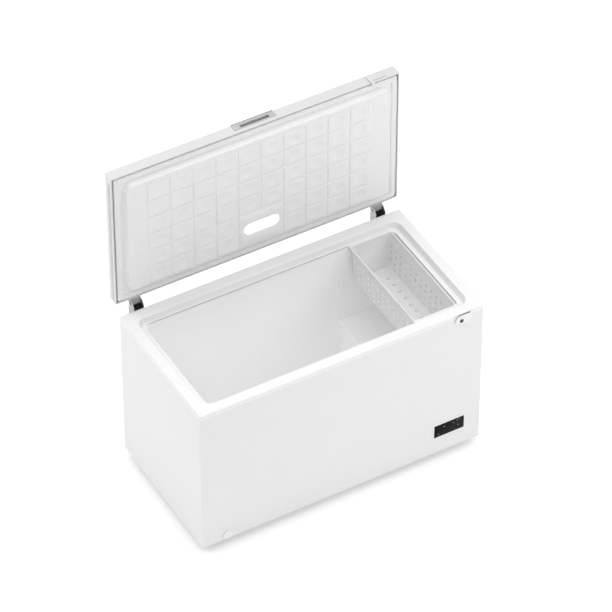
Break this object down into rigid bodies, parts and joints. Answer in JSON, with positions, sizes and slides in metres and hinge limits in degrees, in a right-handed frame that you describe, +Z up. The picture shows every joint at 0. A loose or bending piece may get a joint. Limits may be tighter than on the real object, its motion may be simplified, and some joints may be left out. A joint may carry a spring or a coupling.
{
  "type": "chest freezer",
  "caption": "Chest freezer on castors with its sprung lid standing open, a stepped tub, a hanging basket, a lock, a drain and a small control panel.",
  "frame": {"origin": "on the floor, under the middle of the whole object's bounding box with the lid standing open", "axes": "+Z up, +X to the right seen from the front, the front faces -Y"},
  "size_m": [1.3048, 0.748, 1.4929],
  "materials": {
    "white_paint": "smooth semi-gloss white enamel",
    "white_plastic": "smooth satin white",
    "tub_plastic": "smooth white with a low sheen",
    "galvanised": "galvanised, dull",
    "bright_steel": "bright",
    "spring_steel": "black oxide",
    "silver_plastic": "satin silver-grey",
    "grey_plastic": "matte grey",
    "black_gloss": "high gloss black",
    "black_paint": "black enamel",
    "rubber": "matte black",
    "gasket_vinyl": "soft white vinyl",
    "insulating_foam": "cream, porous",
    "copper": "drawn copper tube",
    "board_green": "solder mask",
    "lens": "milky white diffuser"
  },
  "bodies": {
    "cabinet": {"cabinet_shell": "white_paint", "rim_frame": "white_plastic", "side_vent_grille": "white_plastic", "panel_bezel": "white_plastic", "lock_housing": "white_plastic", "temperature_sensor": "white_plastic", "tub_liner": "tub_plastic", "back_panel": "galvanised", "base_pan": "galvanised", "base_rail_left": "galvanised", "base_rail_right": "galvanised", "bay_panel": "galvanised", "compressor_base": "galvanised", "hinge_bracket_left": "galvanised", "hinge_bracket_right": "galvanised", "castor_bracket_front_left": "galvanised", "castor_bracket_front_right": "galvanised", "castor_bracket_rear_left": "galvanised", "castor_bracket_rear_right": "galvanised", "hinge_pin_left": "bright_steel", "hinge_pin_right": "bright_steel", "castor_axle_front_left": "bright_steel", "castor_axle_front_right": "bright_steel", "castor_axle_rear_left": "bright_steel", "castor_axle_rear_right": "bright_steel", "hinge_spring_left": "spring_steel", "hinge_spring_right": "spring_steel", "rear_cover": "grey_plastic", "start_relay": "grey_plastic", "power_box": "grey_plastic", "drain_tube": "grey_plastic", "panel_window": "black_gloss", "compressor": "black_paint", "cabinet_foam": "insulating_foam", "evaporator_coil": "copper", "condenser_coil": "copper", "suction_line": "copper", "discharge_line": "copper", "filter_drier": "copper", "display_board": "board_green"},
    "lid": {"lid_skin": "white_paint", "lid_foam": "insulating_foam", "lid_inner_panel": "tub_plastic", "lid_gasket": "gasket_vinyl", "lid_handle": "silver_plastic", "lid_lamp_lens": "lens", "lid_lamp_board": "board_green", "lock_catch": "white_plastic", "hinge_arm_left": "galvanised", "hinge_arm_right": "galvanised"},
    "lock": {"lock_barrel": "bright_steel", "lock_cam": "bright_steel"},
    "basket": {"basket": "white_plastic"},
    "drain_cap": {"drain_cap": "white_plastic"},
    "drain_plug": {"drain_plug": "rubber"},
    "wheel_front_left": {"castor_wheel_front_left": "grey_plastic"},
    "wheel_front_right": {"castor_wheel_front_right": "grey_plastic"},
    "wheel_rear_left": {"castor_wheel_rear_left": "grey_plastic"},
    "wheel_rear_right": {"castor_wheel_rear_right": "grey_plastic"}
  },
  "joints": [
    {"name": "lid_hinge", "type": "hinge", "parent": "cabinet", "child": "lid", "pos_m": [0, 0.331, 0.793], "axis": [1, 0, 0], "range_deg": [0, 90], "stiffness_Nm_per_rad": 20, "deforming": ["hinge_spring_left", "hinge_spring_right"]},
    {"name": "basket_slide", "type": "slide", "parent": "cabinet", "child": "basket", "axis": [-1, 0, 0], "range_m": [0, 0.92]},
    {"name": "lock_turn", "type": "hinge", "parent": "cabinet", "child": "lock", "pos_m": [0.54, -0.37, 0.745], "axis": [0, -1, 0], "range_deg": [0, 90]},
    {"name": "drain_cap_pull", "type": "slide", "parent": "cabinet", "child": "drain_cap", "axis": [0, -1, 0], "range_m": [0, 0.03]},
    {"name": "drain_plug_lift", "type": "slide", "parent": "cabinet", "child": "drain_plug", "axis": [0, 0, 1], "range_m": [0, 0.04]},
    {"name": "wheel_roll_front_left", "type": "hinge", "parent": "cabinet", "child": "wheel_front_left", "pos_m": [-0.52, -0.273, 0.01765], "axis": [0, 1, 0], "continuous": true},
    {"name": "wheel_roll_front_right", "type": "hinge", "parent": "cabinet", "child": "wheel_front_right", "pos_m": [0.52, -0.273, 0.01765], "axis": [0, 1, 0], "continuous": true},
    {"name": "wheel_roll_rear_left", "type": "hinge", "parent": "cabinet", "child": "wheel_rear_left", "pos_m": [-0.52, 0.207, 0.01765], "axis": [0, 1, 0], "continuous": true},
    {"name": "wheel_roll_rear_right", "type": "hinge", "parent": "cabinet", "child": "wheel_rear_right", "pos_m": [0.52, 0.207, 0.01765], "axis": [0, 1, 0], "continuous": true}
  ]
}
